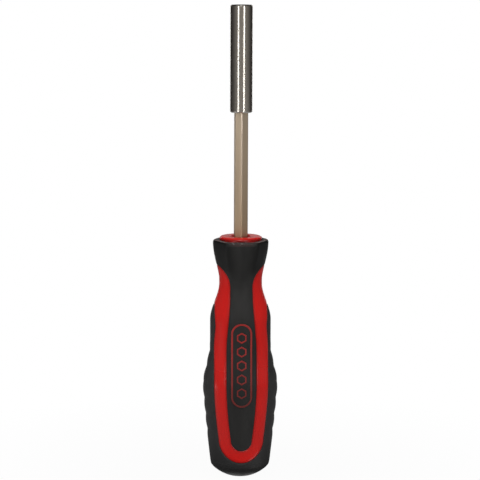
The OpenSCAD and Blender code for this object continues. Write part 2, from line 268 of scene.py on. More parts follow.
steel, node, feed = new_finish("turned_steel")
turning = grain(node, (6.0, 6.0, 0.06), 2.0)
handling = grain(node, (1.1, 1.1, 22.0), 3.0)
pits = grain(node, (0.35, 0.35, 0.5), 3.0)
wear = tones(node, handling, (0.41, 0.385, 0.35), (0.49, 0.46, 0.42))
marks = tones(node, pits, (0.86, 0.85, 0.83), (1.0, 1.0, 1.0), 0.27, 0.38)
feed("Base Color", blend(node, 1.0, wear, marks, "MULTIPLY"))
feed("Roughness", span(node, turning, 0.17, 0.20))
feed("Normal", relief(node, turning, 0.02, 0.01))
feed("Metallic", 1.0)
sleeve.data.materials.clear()
sleeve.data.materials.append(steel)
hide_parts("bit_sleeve")
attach(sleeve, "driver")

# Holding magnet: nickel-plated disc that lies on the shaft's end at the bottom of the socket.
# It pulls the bit home; its plating is bright and finely scuffed.
magnet_r, magnet_low, magnet_top, magnet_edge = 2.9, 209.0, 212.0, 0.25
magnet = drum(magnet_r, magnet_low, magnet_top, 64)
soften(magnet, magnet_edge, 3)
magnet.name = "holding_magnet_disc"
settle(magnet)

plating, node, feed = new_finish("magnet_plating")
scuffs = grain(node, (0.6, 0.6, 0.6), 4.0)
feed("Base Color", tones(node, scuffs, (0.42, 0.41, 0.39), (0.58, 0.57, 0.55)))
feed("Roughness", span(node, scuffs, 0.18, 0.42))
feed("Metallic", 1.0)
magnet.data.materials.clear()
magnet.data.materials.append(plating)
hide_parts("holding_magnet")
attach(magnet, "driver")

# Retaining ring: split ring of spring wire that lies loose in the sleeve's groove.
# It reaches a little into the socket's corners and snaps into the notches of a bit.
ring_r, ring_wire, ring_gap = 3.751, 0.8, math.radians(50)
ring_edge, ring_end_angle = 0.1, 60
ring_start = math.radians(270) + ring_gap / 2
clear_selection()
bpy.ops.mesh.primitive_circle_add(
    vertices=20, radius=ring_wire / 2 * MM, fill_type="NGON",
    location=(ring_r * math.cos(ring_start) * MM, ring_r * math.sin(ring_start) * MM, groove_z * MM),
    rotation=(math.pi / 2, 0, ring_start))
ring = bpy.context.object
apply_place()
bpy.ops.object.mode_set(mode="EDIT")
bpy.ops.mesh.select_all(action="SELECT")
bpy.ops.mesh.spin(steps=96, angle=2 * math.pi - ring_gap, center=(0, 0, groove_z * MM), axis=(0, 0, 1))
bpy.ops.object.mode_set(mode="OBJECT")
ring.name = "retaining_ring_wire"
settle(ring)
soften(ring, ring_edge, 2, ring_end_angle)

spring, node, feed = new_finish("spring_wire")
drawing = grain(node, (0.3, 0.3, 0.12), 3.0)
feed("Base Color", tones(node, drawing, (0.30, 0.30, 0.31), (0.44, 0.44, 0.45)))
feed("Roughness", span(node, drawing, 0.25, 0.4))
feed("Metallic", 1.0)
ring.data.materials.clear()
ring.data.materials.append(spring)
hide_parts("retaining_ring")
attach(ring, "spring_ring")

# Handle core: hard red moulding round the tang. It shows as the nose disc round the shaft and as the U bands
# beside the tongue; under the black mouldings it is set back to seat them, with rolled edges along the seams.
rim_z, rim_round, rim_w, flare_power = 114.25, 1.0, 26.5, 0.85
rim_facet, front_sharpness, side_sharpness, side_round = math.radians(63), 28, 12, 1.5
side_start, side_reach = 0.80, 0.14
neck_top, neck_low, neck_w, neck_d = 95.2, 93.2, 20.4, 19.8
shoulder_top, shoulder_low, shoulder_w, shoulder_d = 75.7, 66.7, 29.0, 26.8
belly_z, belly_w, belly_d, belly_power = 44.7, 36.0, 29.6, 0.8
heel_z, heel_w, heel_d, heel_power = 5.3, 28.2, 27.2, 1.2
rim_wide = rim_z - rim_round
nose_r, nose_top, nose_round, nose_foot = 10.3, 115.8, 1.3, 0.1
relief_r, relief_depth, relief_edge, relief_mid = 4.6, 0.6, 0.25, 0.07
bore_r, bore_end, pocket_r, pocket_half, pocket_slope = 3.85, 0.1, 5.8, 6.4, 0.1
tongue_neck, tongue_grow, tongue_full, tongue_wide, tongue_taper = 5.4, 89.0, 61.1, 7.25, 1.6
tongue_end_r, tongue_tip, arch_low, arch_z, arch_power = 5.05, 14.25, 90.2, 102.2, 2.3
tongue_end = tongue_tip + tongue_end_r
band_w = 6.0
band_tip = tongue_tip - band_w
grip_draw, grip_tip = 72.8, 83.2
collar_t, grip_t, base_t = 2.2, 2.6, 5.2
collar_thin, grip_thin = math.radians(8), math.radians(10)
tongue_side_roll, grip_side_roll = (1.0, 0.4), (1.5, 0.6)
crowd_arc, turn_slack = 4.0, 1e-6
# Painted shade: the bands darken towards their seams and a little low on the sides.
seam_shade_reach_in, seam_shade_reach_out = 2.0, 2.1
seam_shade_in, seam_shade_out, seam_shade_low = 0.45, 0.6, 0.25
seam_shade_from, seam_shade_over = 9, 8
low_shade_end, low_shade_over, low_shade_dark = 40, 14, 0.07
# Painted shade at the nose's foot by the rim and over its rounded edge.
nose_foot_shade, nose_edge_shade, nose_shade_over = 0.3, 0.4, math.radians(65)
matt_low, matt_full, gloss_low, gloss_full = 46, 70, 98, 104
quarter = math.pi / 2


def mix(a, b, t):
    return a + (b - a) * t


def ease(t):
    t = np.clip(t, 0.0, 1.0)
    return t * t * (3 - 2 * t)


def along(z, rim, neck, shoulder, belly, heel):
    """Half of the handle's width or depth at height z, from its values at five stations."""
    z = np.asarray(z, float)
    flare = np.clip((z - neck_top) / (rim_wide - neck_top), 0, 1) ** flare_power
    swell = np.clip((z - belly_z) / (shoulder_low - belly_z), 0, 1) ** belly_power
    below = np.clip((belly_z - z) / (belly_z - heel_z), 0, None) ** heel_power
    return np.select(
        [z >= neck_top, z >= neck_low, z >= shoulder_top, z >= shoulder_low, z >= belly_z],
        [mix(neck, rim, ease(flare)),
         neck + 0 * z,
         mix(shoulder, neck, ease((z - shoulder_top) / (neck_low - shoulder_top))),
         shoulder + 0 * z,
         mix(belly, shoulder, ease(swell))],
        mix(belly, heel, below)) / 2


def half_w(z):
    return along(z, rim_w, neck_w, shoulder_w, belly_w, heel_w)


def half_d(z):
    return along(z, rim_w, neck_d, shoulder_d, belly_d, heel_d)


def side_share(turn):
    """How near an angle lies to the bell's two side corners, from 0 to 1."""
    return ease((np.abs(np.sin(turn)) - side_start) / side_reach)


def hex_mean(turn):
    """Six-sided plan of the bell, as a power mean of its flats; its side corners are the rounder ones."""
    facings = (0, rim_facet, math.pi - rim_facet, math.pi, math.pi + rim_facet, -rim_facet)
    sharpness = mix(front_sharpness, side_sharpness, side_share(turn))
    flats = [np.maximum(0, np.cos(turn - facing)) ** sharpness for facing in facings]
    return np.sum(flats, axis=0) ** (-1 / sharpness)


def rounding(rise):
    """Drop of a round edge as a share of its radius, at a share of the way over it."""
    rise = np.clip(rise, 0, 1)
    return 1 - np.sqrt(1 - rise * rise)


def skin_r(turn, z):
    """Radius of the handle's skin; turn is the angle from the front line."""
    w, d = half_w(z), half_d(z)
    oval = w * d / np.hypot(d * np.sin(turn), w * np.cos(turn))
    bell = w * hex_mean(turn) / hex_mean(np.float64(quarter))
    drop = mix(rim_round, side_round, side_share(turn))
    rim_cut = rim_round * rounding((z - rim_z + drop) / drop)
    return mix(oval, bell, ease((z - neck_top) / (rim_wide - neck_top))) - rim_cut


def angle_at(x, z):
    """Angle from the front line to the skin at sideways distance x."""
    return np.arctan2(x, half_d(z) * np.sqrt(np.clip(1 - (x / half_w(z)) ** 2, 0, 1)))


def folded(turn):
    """Angle from the nearer of the front and back lines."""
    return np.arccos(np.abs(np.cos(turn)))


def chord(r, off):
    return np.sqrt(np.clip(r * r - off * off, 0, None))


def tongue_x(z):
    z = np.asarray(z, float)
    low_part = np.clip((belly_z - z) / (belly_z - tongue_end), 0, 1)
    return np.select(
        [z >= tongue_full, z >= belly_z, z >= tongue_end],
        [mix(tongue_wide, tongue_neck, ease((z - tongue_full) / (tongue_grow - tongue_full))),
         tongue_wide + 0 * z,
         mix(tongue_wide, tongue_end_r, low_part ** tongue_taper)],
        chord(tongue_end_r, tongue_end - z))


def band_x(z):
    z = np.asarray(z, float)
    return np.where(z >= tongue_end, tongue_x(z) + band_w, chord(tongue_end_r + band_w, tongue_end - z))


def tongue_angle(z):
    """Angle from the front line to the seam between tongue and band, up to the arch under the bell."""
    z = np.asarray(z, float)
    start = angle_at(tongue_neck, np.float64(arch_low))
    rise = np.clip((z - arch_low) / (arch_z - arch_low), 0, 1)
    arch = quarter - (quarter - start) * (1 - rise ** arch_power) ** (1 / arch_power)
    return np.select([z <= tongue_tip, z <= arch_low], [0 * z, angle_at(tongue_x(z), z)], arch)


def band_angle(z):
    """Angle from the front line to the seam between band and side grip, up to the grip's round top."""
    z = np.asarray(z, float)
    start = angle_at(band_x(grip_draw), np.float64(grip_draw))
    rise = np.clip((z - grip_draw) / (grip_tip - grip_draw), 0, 1)
    return np.select([z <= band_tip, z <= grip_draw], [0 * z, angle_at(band_x(z), z)],
                     quarter - (quarter - start) * np.sqrt(1 - rise * rise))


def tip_rows(tip, length, count):
    """Heights that crowd at a round tip, from the tip over a length."""
    return tip + length * (1 - np.cos(np.linspace(0, quarter, count)))


def arch_rows(count):
    return arch_low + (arch_z - arch_low) * np.sin(np.linspace(0, quarter, count)) ** (2 / arch_power)


def draw_rows(count):
    return grip_draw + (grip_tip - grip_draw) * np.sin(np.linspace(0, quarter, count))


near_edge = np.array([0.0, 0.012, 0.05, 0.11, 0.19, 0.30, 0.46, 0.68, 0.95, 1.25, 1.6])
tongue_border_z = np.concatenate([
    tip_rows(tongue_tip, tongue_end_r, 60), np.linspace(tongue_end, arch_low, 260), arch_rows(80)])
tongue_border = np.stack([tongue_angle(tongue_border_z), tongue_border_z], 1)
band_border_z = np.concatenate([
    tip_rows(band_tip, tongue_end_r + band_w, 60), np.linspace(tongue_end, grip_draw, 200), draw_rows(80)])
band_border = np.stack([band_angle(band_border_z), band_border_z], 1)


def edge_distance(turn, z, border):
    """Distance over the skin from points to a seam, in millimetres, with all quarters folded on one."""
    turn, z = np.broadcast_arrays(turn, z)
    fold = folded(turn)
    points = np.stack([fold.ravel(), z.ravel()], 1)
    scale = skin_r(fold, z).ravel()[:, None]
    nearest = np.full(len(points), np.inf)
    batch = 40
    for k in range(0, len(border) - 1, batch):
        stretch = border[k:k + batch + 1]
        a, b = stretch[:-1], stretch[1:]
        px, pz = (points[:, :1] - a[None, :, 0]) * scale, points[:, 1:] - a[None, :, 1]
        ex, ez = (b - a)[None, :, 0] * scale, (b - a)[None, :, 1] + 0 * scale
        t = np.clip((px * ex + pz * ez) / np.maximum(ex * ex + ez * ez, 1e-12), 0, 1)
        nearest = np.minimum(nearest, np.hypot(px - t * ex, pz - t * ez).min(1))
    return nearest.reshape(turn.shape)


def rolled(distance, width, depth):
    """How far an edge is rolled under at a distance from the seam, over a width and down to a depth."""
    return depth * rounding(1 - np.clip(distance / width, 0, 1))


def spread(low, high, arc, inner):
    """Angles from low to high that crowd at both ends; arc is the stretch in millimetres."""
    close = near_edge[:, None] * np.minimum(1, arc / crowd_arc)[None] / np.maximum(arc, 1e-9)[None]
    middle = np.linspace(0, 1, inner + 2)[1:-1, None]
    share = np.concatenate([close, mix(close[-1:], 1 - close[-1:], middle), 1 - close[::-1]])
    return (low[None] + (high - low)[None] * share).T


def place_grid(name, points, shade_and_wear=None):
    """Adds a grid, moves each vertex to its row's and column's point and stores its painted shade, highlight
    and wear value for the material.
    """
    rows, columns = points.shape[:2]
    clear_selection()
    bpy.ops.mesh.primitive_grid_add(x_subdivisions=columns - 1, y_subdivisions=rows - 1, size=1)
    sheet = bpy.context.object
    sheet.name = name
    flat = np.zeros(len(sheet.data.vertices) * 3)
    sheet.data.vertices.foreach_get("co", flat)
    where = flat.reshape(-1, 3)
    i = np.rint((where[:, 0] + 0.5) * (columns - 1)).astype(int)
    j = np.rint((where[:, 1] + 0.5) * (rows - 1)).astype(int)
    sheet.data.vertices.foreach_set("co", (points[j, i] * MM).ravel())
    if shade_and_wear is not None:
        sheet.data.attributes.new("shade_and_wear", "FLOAT", "POINT").data.foreach_set("value", shade_and_wear[j, i])
    sheet.data.update()
    return sheet


def round_axis(r, turn, z):
    """Points at a radius and an angle from the front line."""
    r, turn, z = np.broadcast_arrays(r, turn, z)
    return np.stack([r * np.sin(turn), -r * np.cos(turn), z], -1)


def collar_seat(turn, z):
    """Radius of the core under the collar; the seat grows shallow where the tongue runs out."""
    depth = collar_t * np.clip(tongue_angle(z) / collar_thin, 0, 1)
    return np.minimum(nose_r, skin_r(turn, z) - depth)


def grip_seat(turn, z):
    """Radius of the core under the side grips; the seat grows shallow where they run out."""
    return skin_r(turn, z) - grip_t * np.clip((quarter - band_angle(z)) / grip_thin, 0, 1)


core_rows = np.concatenate([
    [base_t + 0.1, 6.6], tip_rows(band_tip, tongue_tip - band_tip - 1.0, 26),
    np.linspace(tongue_tip - 1.0, tongue_tip, 14)[1:], tip_rows(tongue_tip, tongue_end_r, 24)[1:],
    np.linspace(tongue_end, grip_draw, 60)[1:], draw_rows(30)[1:],
    grip_tip + near_edge[1:], np.linspace(grip_tip + 1.8, arch_low, 10),
    arch_rows(30)[1:], np.linspace(arch_z, rim_z, 8)[1:]])
inner_seam = tongue_angle(core_rows)
outer_seam = np.maximum(inner_seam, band_angle(core_rows))
across = np.linspace(0, 1, 5)[None]
middle_r = skin_r(outer_seam, core_rows)
under_tongue = inner_seam[:, None] * across
bare = spread(inner_seam, outer_seam, (outer_seam - inner_seam) * middle_r, 12)
under_grip = outer_seam[:, None] + (quarter - outer_seam)[:, None] * across
level = core_rows[:, None]


def bare_r(turn):
    roll = np.maximum(rolled(edge_distance(turn, level, tongue_border), *tongue_side_roll),
                      rolled(edge_distance(turn, level, band_border), *grip_side_roll))
    shown = skin_r(turn, level) - roll
    shown = np.where(inner_seam[:, None] >= quarter - turn_slack, collar_seat(turn, level), shown)
    return np.where(outer_seam[:, None] <= 0, grip_seat(turn, level), shown)


def painted_seam_shade(turn):
    """Painted shade on the bare bands: darker towards the seams and a little low on the sides."""
    inner = 1 - np.clip(edge_distance(turn, level, tongue_border) / seam_shade_reach_in, 0, 1)
    outer = 1 - np.clip(edge_distance(turn, level, band_border) / seam_shade_reach_out, 0, 1)
    above_tip = ease((level - seam_shade_from) / seam_shade_over)
    low_shade = above_tip * ease((low_shade_end - level) / low_shade_over)
    return ((1 - seam_shade_in * inner ** 2) * (1 - mix(seam_shade_low, seam_shade_out, above_tip) * outer ** 2)
            * (1 - low_shade_dark * low_shade))


tongue_seat_r = np.where(inner_seam[:, None] > 0, collar_seat(under_tongue, level), bare_r(under_tongue))
grip_seat_r = np.where(outer_seam[:, None] < quarter - turn_slack, grip_seat(under_grip, level),
                       bare_r(under_grip))
quarter_turns = np.concatenate([under_tongue, bare, under_grip], 1)
quarter_radii = np.concatenate([tongue_seat_r, bare_r(bare), grip_seat_r], 1)
quarter_shades = painted_seam_shade(quarter_turns)
turns = np.concatenate([quarter_turns, math.pi - quarter_turns[:, ::-1], math.pi + quarter_turns,
                        2 * math.pi - quarter_turns[:, ::-1]], 1)
radii = np.concatenate([quarter_radii, quarter_radii[:, ::-1]] * 2, 1)
body_shade = np.concatenate([quarter_shades, quarter_shades[:, ::-1]] * 2, 1)
around = turns[-1:]
bend = np.linspace(0, quarter, 9)
lathe = [(nose_r, rim_z + nose_foot)]
lathe += [(nose_r - nose_round * (1 - math.cos(t)), nose_top - nose_round * (1 - math.sin(t))) for t in bend]
lathe += [(relief_r + relief_edge, nose_top), (relief_r + relief_mid, nose_top - relief_mid),
          (relief_r, nose_top - relief_edge), (relief_r, nose_top - relief_depth),
          (bore_r, nose_top - relief_depth), (bore_r, wing_z + pocket_half + pocket_slope),
          (pocket_r, wing_z + pocket_half), (pocket_r, wing_z - pocket_half),
          (bore_r, wing_z - pocket_half - pocket_slope), (bore_r, shaft_low - bore_end),
          (0, shaft_low - bore_end)]
nose = np.concatenate([round_axis(r, around, z) for r, z in lathe])
body = round_axis(radii, turns, level)
foot = round_axis(0, around, core_rows[0])
# Painted shade on the nose: darkest at its foot by the rim and lightening over its rounded edge.
nose_shade = np.ones((len(lathe), around.shape[1]))
nose_shade[0] = nose_foot_shade
nose_shade[1:len(bend) + 1] = mix(nose_edge_shade, 1.0, ease(bend / nose_shade_over))[:, None]
core = place_grid("handle_core_moulding", np.concatenate([foot, body, nose]),
                  np.concatenate([nose_shade[-1:], body_shade, nose_shade]))
settle(core, 40)

red, node, feed = new_finish("moulded_red")
flow = grain(node, (14.0, 14.0, 30.0), 3.0)
skin = grain(node, (0.35, 0.35, 0.35), 3.0)
# Painted shade: the grid's attribute darkens the red towards the seams, low on the sides and at the foot of
# the nose.
painted_shade = node("ShaderNodeAttribute", attribute_name="shade_and_wear").outputs["Fac"]
bright = tones(node, flow, (0.44, 0.0054, 0.0038), (0.50, 0.0078, 0.0054))
matted = fade(node, gloss_low, gloss_full, fade(node, matt_low, matt_full, kind="SMOOTHSTEP"), 0.0)
feed("Base Color", blend(node, 1.0, bright, painted_shade, "MULTIPLY"))
feed("Roughness", span(node, matted, span(node, flow, 0.20, 0.26), 0.40, 0.0, 1.0))
feed("Normal", relief(node, skin, 0.10, 0.01))
feed("Specular IOR Level", span(node, matted, 0.24, 0.12, 0.0, 1.0))
core.data.materials.clear()
core.data.materials.append(red)
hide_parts("handle_core")
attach(core, "driver")

# Collar grip: black moulding with the six-sided bell that keeps the tool from rolling, and one long tongue
# down the front and one down the back. It is moulded over the core and its edges roll into the seams.
tongue_roll = (0.4, 0.3)
lip_r, lip_low, lip_step = nose_r - 0.5, rim_wide - 0.7, 0.8
seat_gap = 0.05
# The collar's attribute mixes painted light with wear: painted shade darkens the bell's side facets, a
# painted highlight lightens the front chamfer, and the rim edge is lighter, partly worn and partly a painted
# highlight.
plain_level, chamfer_highlight_level, edge_loss = 0.3, 0.25, 0.35
facet_low, facet_over = 96, 6
facet_middle, facet_side = math.radians(5), math.radians(38)
front_start, front_end = math.radians(24), math.radians(33)
chamfer_drop, edge_drop, edge_sheen_over = 2.0, 0.42, 0.3
crest_drop, crest_loss = 0.12, 0.3
collar_rows = np.concatenate([
    tip_rows(tongue_tip, tongue_end_r, 26), np.linspace(tongue_end, arch_low, 76)[1:], arch_rows(34)[1:],
    arch_z + np.array([0.012, 0.05, 0.11, 0.2, 0.32, 0.6, 1.0]), np.linspace(arch_z + 1.6, rim_z - 2.3, 10),
    np.linspace(rim_z - 2.1, rim_wide, 8),
    rim_wide + rim_round * np.sin(np.linspace(0, quarter, 12))[1:]])
half = tongue_angle(collar_rows)
level = collar_rows[:, None]
finger = spread(-half, half, 2 * half * skin_r(half, np.minimum(collar_rows, arch_z)), 65)
finger_r = skin_r(finger, level) - np.where(
    level < arch_z + 1, rolled(edge_distance(finger, level, tongue_border), *tongue_roll), 0)
rim_turn, rim_r = finger[-1:], finger_r[-1:]
top_steps = ((0.35, 0.02), (0.7, 0.15), (1.0, 0.4))
top = [round_axis(mix(rim_r, lip_r, t), rim_turn, rim_z - dip) for t, dip in top_steps]
front_tongue = np.concatenate([round_axis(finger_r, finger, level)] + top)
under_rim = level - rim_z
off_middle = ease((folded(finger) - facet_middle) / (facet_side - facet_middle))
front_share = 1 - ease((folded(finger) - front_start) / (front_end - front_start))
facet_shade = plain_level * (1 - off_middle * ease((level - facet_low) / facet_over))
chamfer_highlight = chamfer_highlight_level * front_share * ease((under_rim + chamfer_drop) / edge_sheen_over)
rim_edge_wear_and_highlight = ((1 - edge_loss * front_share) * ease((under_rim + edge_drop) / edge_sheen_over)
            * (1 - crest_loss * ease((under_rim + crest_drop) / crest_drop)))
collar_shade_and_wear = np.maximum(facet_shade + chamfer_highlight, rim_edge_wear_and_highlight)
top_shade_and_wear = [collar_shade_and_wear[-1:] * share for share in (0.5, 0.35, 0.3)]
tongue_shade_and_wear = np.concatenate([collar_shade_and_wear] + top_shade_and_wear)


def wall(sheet, inward):
    """Extrudes the whole sheet and moves the new skin inwards, which closes it to a solid wall."""
    activate(sheet)
    bpy.ops.object.mode_set(mode="EDIT")
    bpy.ops.mesh.select_all(action="SELECT")
    bpy.ops.mesh.remove_doubles(threshold=merge_gap * MM)
    bpy.ops.mesh.extrude_region()
    mesh = bmesh.from_edit_mesh(sheet.data)
    moved = [v for v in mesh.verts if v.select]
    at = np.array([v.co for v in moved]) / MM
    at = inward(np.arctan2(at[:, 0], -at[:, 1]), np.hypot(at[:, 0], at[:, 1]), at[:, 2])
    for v, point in zip(moved, at):
        v.co = point * MM
    bmesh.update_edit_mesh(sheet.data)
    bpy.ops.object.mode_set(mode="OBJECT")


def join_into(piece, other):
    activate(piece)
    other.select_set(True)
    bpy.ops.object.join()


def collar_inside(turn, r, z):
    low = np.minimum(z, lip_low)
    inside = np.minimum(collar_seat(folded(turn), low) + seat_gap, r)
    return round_axis(np.where(z > lip_low, lip_r - lip_step, inside), turn, low)


collar = place_grid("collar_grip_moulding", front_tongue, tongue_shade_and_wear)
join_into(collar, place_grid("back_tongue", front_tongue * np.array([-1, -1, 1]), tongue_shade_and_wear))
wall(collar, collar_inside)
settle(collar, 40)

black, node, feed = new_finish("moulded_black")
skin = grain(node, (0.28, 0.28, 0.28), 2.0)
rubbed = grain(node, (6.0, 6.0, 18.0), 4.0)
mottle = tones(node, rubbed, (0.68, 0.68, 0.68), (1.0, 0.99, 0.97))
# The attribute's ramp runs from painted shade on the side facets through the plain black to a reddish painted
# highlight on the front chamfer and rim edge, whose red is a painted reflection of the nose; the rim edge is
# also worn.
wear = node("ShaderNodeAttribute", attribute_name="shade_and_wear").outputs["Fac"]
shade_highlight_and_wear = ramp(node, wear, ((0.0, (0.0055, 0.0055, 0.0053)), (plain_level, (0.0175, 0.0172, 0.0168)),
                         (0.6, (0.046, 0.028, 0.027)), (1.0, (0.150, 0.096, 0.094))))
mottled = blend(node, 1.0, shade_highlight_and_wear, mottle, "MULTIPLY")
scuff_place = span(node, wear, 0.0, 1.0, 0.38, 0.5)
scuffs = span(node, grain(node, (1.6, 1.6, 0.5), 2.0), 0.0, scuff_place, 0.64, 0.70)
feed("Base Color", blend(node, scuffs, mottled, (0.15, 0.14, 0.14, 1)))
feed("Roughness", span(node, rubbed, 0.42, 0.52))
feed("Normal", relief(node, skin, 0.25, 0.015))
feed("Specular IOR Level", 0.16)
collar.data.materials.clear()
collar.data.materials.append(black)
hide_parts("collar_grip")
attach(collar, "driver")

# Palm grip: soft black moulding of the two side grips and the domed base, moulded over the core in one piece.
# Shallow scallops run across the sides for the fingers; the base is plain.
foot_r, heel_roll, heel_pull, heel_reach = 6.0, 1.1, 0.16, 2.2
grip_roll, least_wall = (0.6, 0.5), 0.05
rib_z, rib_pitch, rib_count, rib_depth, valley_round = 22.4, 7.65, 6, 0.4, 0.015
rib_side, rib_over = 0.6, 0.3
rib_low, rib_high = rib_z - rib_pitch / 2, rib_z + (rib_count - 0.5) * rib_pitch
arc_turn, base_clear, base_shade_top = 0.9, 0.8, 18
dome_centre = ((heel_w / 2) ** 2 - foot_r ** 2 + heel_z ** 2) / (2 * heel_z)
dome_r = math.hypot(foot_r, dome_centre)


def rib_cut(turn, z):
    """Depth of the round-bottomed valleys between the scallops, which run out towards the bands."""
    wave = np.sqrt((np.sin(math.pi * (z - rib_z) / rib_pitch) ** 2 + valley_round) / (1 + valley_round))
    share = ease((np.abs(np.sin(turn)) - rib_side) / rib_over)
    return np.where((z < rib_low) | (z > rib_high), 0, rib_depth * (1 - wave) * share)


def rolled_grip(turn, z):
    return skin_r(turn, z) - rolled(edge_distance(turn, z, band_border), *grip_roll)


grip_rows = np.concatenate([
    tip_rows(band_tip, tongue_end_r + band_w, 34), np.linspace(tongue_end, rib_high, 130)[1:],
    np.linspace(rib_high, grip_draw, 8)[1:], draw_rows(32)[1:]])
side_half = quarter - band_angle(grip_rows)
level = grip_rows[:, None]
side_arc = 2 * side_half * skin_r(np.full_like(grip_rows, arc_turn), grip_rows)
side = quarter + spread(-side_half, side_half, side_arc, 27)
side_r = rolled_grip(side, level) - rib_cut(side, level)
base_turn = side[:1]
heel_oval = skin_r(base_turn, np.float64(heel_z)) / (heel_w / 2)
corner = np.array([heel_w / 2, heel_z])
dome_rows = np.linspace(0, heel_z, 22)[1:]
dome = np.stack([chord(dome_r, dome_centre - dome_rows), dome_rows], 1)
wall_rows = np.linspace(heel_z, band_tip - base_clear, 10)[1:]
wall_line = np.stack([half_w(wall_rows), wall_rows], 1)
profile = np.concatenate([[[0, 0], [foot_r * 0.6, 0], [foot_r, 0]], dome, wall_line])
reach = np.linalg.norm(profile - corner, axis=1)
before, after = dome[-1] - dome[-2], wall_line[0] - corner
bisector = after / np.linalg.norm(after) - before / np.linalg.norm(before)
pull = heel_pull * np.clip(1 - reach / (heel_reach * heel_roll), 0, 1) ** 2
profile = profile + pull[:, None] * bisector / np.linalg.norm(bisector) * heel_roll
base = np.concatenate([round_axis(r * heel_oval, base_turn, z) for r, z in profile])
crowd = band_tip - near_edge[7:0:-1, None]
shoulder = round_axis(rolled_grip(base_turn, crowd), base_turn, crowd)
right_side = np.concatenate([base, shoulder, round_axis(side_r, side, level)])


def palm_inside(turn, r, z):
    low = np.maximum(z, base_t)
    seat = grip_seat(folded(turn), np.maximum(low, heel_z)) + seat_gap
    return round_axis(np.minimum(seat, np.maximum(r - least_wall, 0)), turn, low)


palm = place_grid("palm_grip_moulding", right_side)
join_into(palm, place_grid("left_side", right_side * np.array([-1, -1, 1])))
wall(palm, palm_inside)
settle(palm, 40)

soft_black, node, feed = new_finish("soft_black")
skin = grain(node, (0.32, 0.32, 0.32), 2.0)
rubbed = grain(node, (5.0, 5.0, 12.0), 4.0)
plain = tones(node, rubbed, (0.0173, 0.0170, 0.0173), (0.0246, 0.0241, 0.0241))
# Painted shade: the base is darker towards the bottom, where it faces the floor.
feed("Base Color", blend(node, fade(node, heel_z, base_shade_top), (0.0150, 0.0149, 0.0150, 1), plain))
feed("Roughness", span(node, rubbed, 0.52, 0.66))
feed("Normal", relief(node, skin, 0.3, 0.02))
feed("Specular IOR Level", 0.2)
palm.data.materials.clear()
palm.data.materials.append(soft_black)
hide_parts("palm_grip")
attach(palm, "driver")

# Front badge: pill-shaped plate set on the front tongue, black with a red frame line.
# A column of plain red hexagon outlines fills it; frame and hexagons stand a little proud of the plate.
badge_half, badge_low, badge_high = 4.95, 35.7, 75.7
badge_middle = (badge_low + badge_high) / 2
badge_line, plate_top, line_top, line_sink = 0.8, 0.30, 0.44, 0.05
hex_mark_r, hex_line, hex_pitch, hex_count = 2.6, 0.6, 6.6, 5
strip_h, strip_w, strip_edge = 1.5, 1.0, 4.0
badge_fade = 66


def flat_face(vertices, radius, z):
    """Filled circle or polygon in the front plane, facing forward."""
    clear_selection()
    bpy.ops.mesh.primitive_circle_add(vertices=vertices, radius=radius * MM, fill_type="NGON",
                                      location=(0, 0, z * MM), rotation=(quarter, 0, 0))
    made = bpy.context.object
    apply_place()
    return made


def pill_face():
    made = flat_face(72, badge_half, badge_low + badge_half)
    bpy.ops.object.mode_set(mode="EDIT")
    mesh = bmesh.from_edit_mesh(made.data)
    for v in mesh.verts:
        v.select_set(v.co.z > (badge_low + badge_half + 0.001) * MM)
    mesh.select_flush_mode()
    bpy.ops.transform.translate(value=(0, 0, (badge_high - badge_low - 2 * badge_half) * MM))
    bpy.ops.object.mode_set(mode="OBJECT")
    return made


def outline(made, line):
    """Insets the face and takes out its middle, so that a ring is left."""
    bpy.ops.object.mode_set(mode="EDIT")
    bpy.ops.mesh.select_all(action="SELECT")
    bpy.ops.mesh.inset(thickness=line * MM)
    bpy.ops.mesh.delete(type="FACE")
    bpy.ops.object.mode_set(mode="OBJECT")
    return made


def lift_selected(made, lift):
    """Moves the selected vertices to a height over the tongue's curve."""
    for v in bmesh.from_edit_mesh(made.data).verts:
        if v.select:
            x, z = v.co.x / MM, v.co.z / MM
            v.co.y = -(half_d(z) * math.sqrt(1 - (x / half_w(z)) ** 2) + lift) * MM
    bmesh.update_edit_mesh(made.data)


def lay_on_tongue(made, low, high):
    """Cuts the flat shape into strips, lays it on the tongue's curve and gives it its thickness."""
    activate(made)
    bpy.ops.object.mode_set(mode="EDIT")
    for z in np.arange(badge_low + 1.0, badge_high, strip_h):
        bpy.ops.mesh.select_all(action="SELECT")
        bpy.ops.mesh.bisect(plane_co=(0, 0, z * MM), plane_no=(0, 0, 1))
    for x in np.arange(-strip_edge, strip_edge + 0.1, strip_w):
        bpy.ops.mesh.select_all(action="SELECT")
        bpy.ops.mesh.bisect(plane_co=(x * MM, 0, 0), plane_no=(1, 0, 0))
    bpy.ops.mesh.select_all(action="SELECT")
    lift_selected(made, low)
    bpy.ops.mesh.extrude_region()
    lift_selected(made, high)
    bpy.ops.object.mode_set(mode="OBJECT")


plate = pill_face()
lay_on_tongue(plate, 0.0, plate_top)
plate.name = "badge_plate"
settle(plate, 30)
plate_shade_and_wear = plate.data.attributes.new("shade_and_wear", "FLOAT", "POINT")
plate_shade_and_wear.data.foreach_set("value", [plain_level] * len(plate.data.vertices))
plate.data.materials.clear()
plate.data.materials.append(black)
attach(plate, "driver")

lines = outline(pill_face(), badge_line)
for k in range(hex_count):
    mark_z = badge_middle + (k - (hex_count - 1) / 2) * hex_pitch
    join_into(lines, outline(flat_face(6, hex_mark_r, mark_z), hex_line))
lay_on_tongue(lines, plate_top - line_sink, line_top)
lines.name = "badge_lines"
settle(lines, 30)

badge_red, node, feed = new_finish("badge_red")
flow = grain(node, (3.0, 3.0, 5.0), 3.0)
plain = tones(node, flow, (0.22, 0.012, 0.010), (0.28, 0.015, 0.012))
